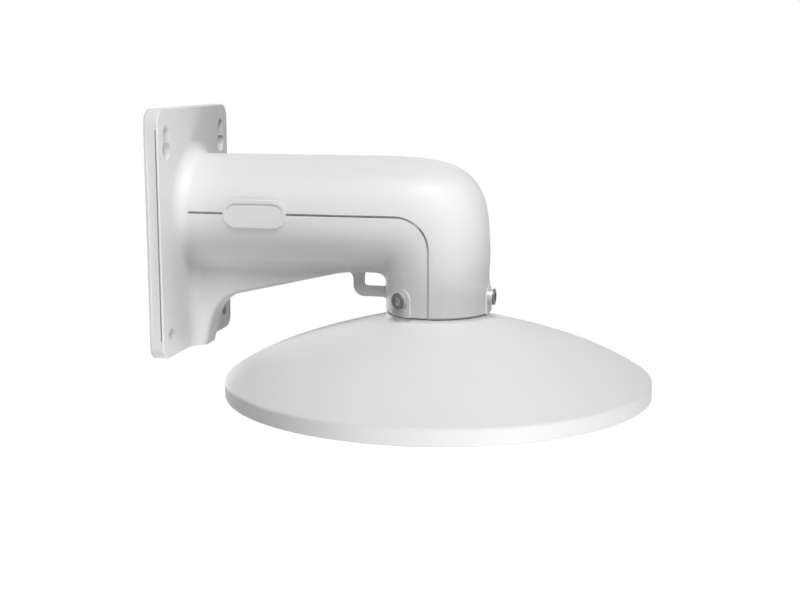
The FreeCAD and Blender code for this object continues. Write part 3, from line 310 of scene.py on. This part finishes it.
def add_pipe_thread(material):
    """Helical ridge inside the shade's spigot, where a camera's adapter screws in."""
    steps = THREAD_TURNS * THREAD_STEPS
    profile = [(THREAD_ROOT, -THREAD_FOOT), (THREAD_CREST, -THREAD_TOP),
               (THREAD_CREST, THREAD_TOP), (THREAD_ROOT, THREAD_FOOT)]
    corners = []
    for step in range(steps + 1):
        angle = 2 * math.pi * step / THREAD_STEPS
        rise = THREAD_BOTTOM + THREAD_PITCH * step / THREAD_STEPS
        taper = min(1.0, step / THREAD_FADE, (steps - step) / THREAD_FADE)
        for radius, offset in profile:
            faded = THREAD_ROOT - (THREAD_ROOT - radius) * taper
            corners.append((REACH + faded * math.cos(angle), faded * math.sin(angle),
                            rise + offset * THREAD_PITCH))
    count = len(profile)
    faces = []
    for step in range(steps):
        first = step * count
        for place in range(count):
            following = (place + 1) % count
            faces.append((first + place, first + following, first + count + following, first + count + place))
    last = steps * count
    faces.append(tuple(reversed(range(count))))
    faces.append(tuple(range(last, last + count)))
    mesh = bpy.data.meshes.new("pipe_thread")
    mesh.from_pydata(corners, [], faces)
    thread = bpy.data.objects.new("pipe_thread", mesh)
    thread.data.materials.append(material)
    link_to_scene(thread)
    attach(thread, "root")


def add_camera():
    camera = bpy.data.objects.new("photo_camera", bpy.data.cameras.new("photo_camera"))
    camera.location = CAMERA_PLACE
    camera.rotation_euler = (math.radians(90 - CAMERA_DIP), 0, math.radians(CAMERA_TURN))
    camera.data.lens = LENS
    camera.data.sensor_width = SENSOR_WIDTH
    camera.data.clip_start = NEAREST_SEEN
    camera.data.clip_end = FARTHEST_SEEN
    link_to_scene(camera)
    bpy.context.scene.camera = camera


def add_lamp(name, place, side, power):
    """A soft square lamp that faces the part's middle."""
    lamp = bpy.data.lights.new(name, "AREA")
    lamp.shape = "RECTANGLE"
    lamp.size = side
    lamp.size_y = side
    lamp.energy = power
    holder = bpy.data.objects.new(name, lamp)
    holder.location = place
    holder.rotation_euler = (Vector(LAMP_AIM) - Vector(place)).to_track_quat("-Z", "Y").to_euler()
    link_to_scene(holder)


def seen_directly(tree):
    """1 for the camera and what it sees in gloss or through glass, 0 for light that the part gathers."""
    rays = tree.nodes.new("ShaderNodeLightPath")
    total = rays.outputs["Is Camera Ray"]
    for name in ("Is Glossy Ray", "Is Transmission Ray"):
        total = math_node(tree, "MAXIMUM", total, rays.outputs[name])
    return total


def stage_white(name):
    """Matt stage paint that keeps shadows, with a glow that makes it white where it is seen."""
    material = bpy.data.materials.new(name)
    material.use_nodes = True
    tree = material.node_tree
    tree.nodes.clear()
    output = tree.nodes.new("ShaderNodeOutputMaterial")
    matt = tree.nodes.new("ShaderNodeBsdfDiffuse")
    matt.inputs["Color"].default_value = grey(FLOOR_GREY)
    glow = tree.nodes.new("ShaderNodeEmission")
    glow.inputs["Color"].default_value = grey(1)
    tree.links.new(seen_directly(tree), glow.inputs["Strength"])
    both = tree.nodes.new("ShaderNodeAddShader")
    tree.links.new(matt.outputs["BSDF"], both.inputs[0])
    tree.links.new(glow.outputs["Emission"], both.inputs[1])
    tree.links.new(both.outputs["Shader"], output.inputs["Surface"])
    return material


def add_floor():
    corners = [(-FLOOR_REACH, -FLOOR_REACH, FLOOR_HEIGHT), (FLOOR_REACH, -FLOOR_REACH, FLOOR_HEIGHT),
               (FLOOR_REACH, FLOOR_REACH, FLOOR_HEIGHT), (-FLOOR_REACH, FLOOR_REACH, FLOOR_HEIGHT)]
    mesh = bpy.data.meshes.new("studio_floor")
    mesh.from_pydata(corners, [], [(0, 1, 2, 3)])
    floor = bpy.data.objects.new("studio_floor", mesh)
    floor.data.materials.append(stage_white("studio_floor"))
    link_to_scene(floor)


def set_world():
    """A pale world that the camera sees as white, at a lower strength where it lights the part."""
    world = bpy.data.worlds.new("studio")
    bpy.context.scene.world = world
    world.use_nodes = True
    tree = world.node_tree
    tree.nodes.clear()
    output = tree.nodes.new("ShaderNodeOutputWorld")
    lit = tree.nodes.new("ShaderNodeBackground")
    lit.inputs["Color"].default_value = grey(1)
    lit.inputs["Strength"].default_value = WORLD_LEVEL
    seen = tree.nodes.new("ShaderNodeBackground")
    seen.inputs["Color"].default_value = grey(1)
    choice = tree.nodes.new("ShaderNodeMixShader")
    tree.links.new(seen_directly(tree), choice.inputs["Fac"])
    tree.links.new(lit.outputs["Background"], choice.inputs[1])
    tree.links.new(seen.outputs["Background"], choice.inputs[2])
    tree.links.new(choice.outputs["Shader"], output.inputs["Surface"])


add_camera()
set_world()
add_floor()
for lamp_name, lamp_place, lamp_side, lamp_power in LAMPS:
    add_lamp(lamp_name, lamp_place, lamp_side, lamp_power)

# The arm's coat carries painted shade in its groove and in the crevice behind the plate's lip.
dress("arm_casting", powder_coat("white_powder_coat", with_painted_shade=True))
shade_coat = powder_coat("shade_powder_coat")
dress("rain_shade", shade_coat)
add_pipe_thread(shade_coat)
dress("clamp_screws", plated_steel("painted_screw"))
dress("wall_gasket", gasket_rubber("gasket_rubber"))

bpy.context.scene.view_settings.view_transform = "Standard"
